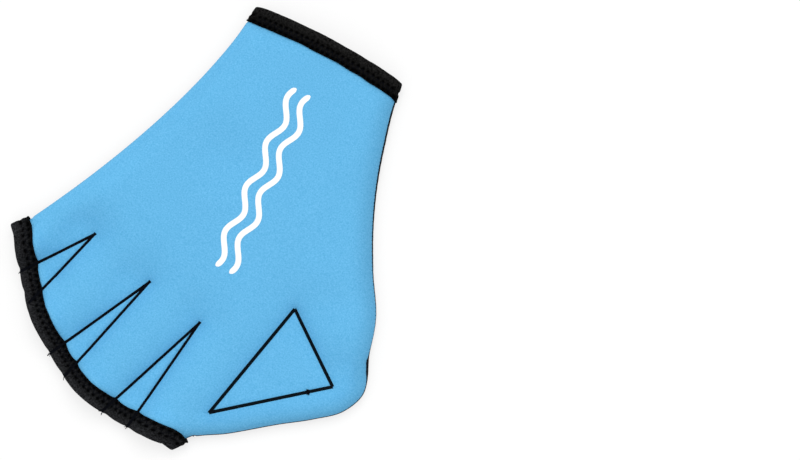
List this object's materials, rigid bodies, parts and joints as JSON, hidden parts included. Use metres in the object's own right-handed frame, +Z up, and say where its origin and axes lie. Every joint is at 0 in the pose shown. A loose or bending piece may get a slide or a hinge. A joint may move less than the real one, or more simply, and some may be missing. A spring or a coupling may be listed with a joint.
{
  "type": "webbed swim glove",
  "caption": "Webbed fingerless swim glove of two flat neoprene panels with taped wrist and finger mouths, stitched finger darts and a triangular thumb web, lying flat.",
  "frame": {"origin": "middle of the bounding box at the height of the surface that the glove lies on", "axes": "+X towards the thumb, +Y towards the wrist mouth, +Z up out of the front panel"},
  "size_m": [0.1742, 0.1978, 0.0139],
  "materials": {
    "front_panel": "blue jersey faced neoprene, matte with a faint sheen",
    "rear_panel": "charcoal jersey faced neoprene, matte",
    "binding": "black folded binding tape, matte, with two rows of stitching"
  },
  "bodies": {
    "root": {"front_panel": "front_panel", "rear_panel": "rear_panel", "cuff_binding": "binding", "finger_binding_front": "binding", "finger_binding_rear": "binding"}
  },
  "joints": []
}
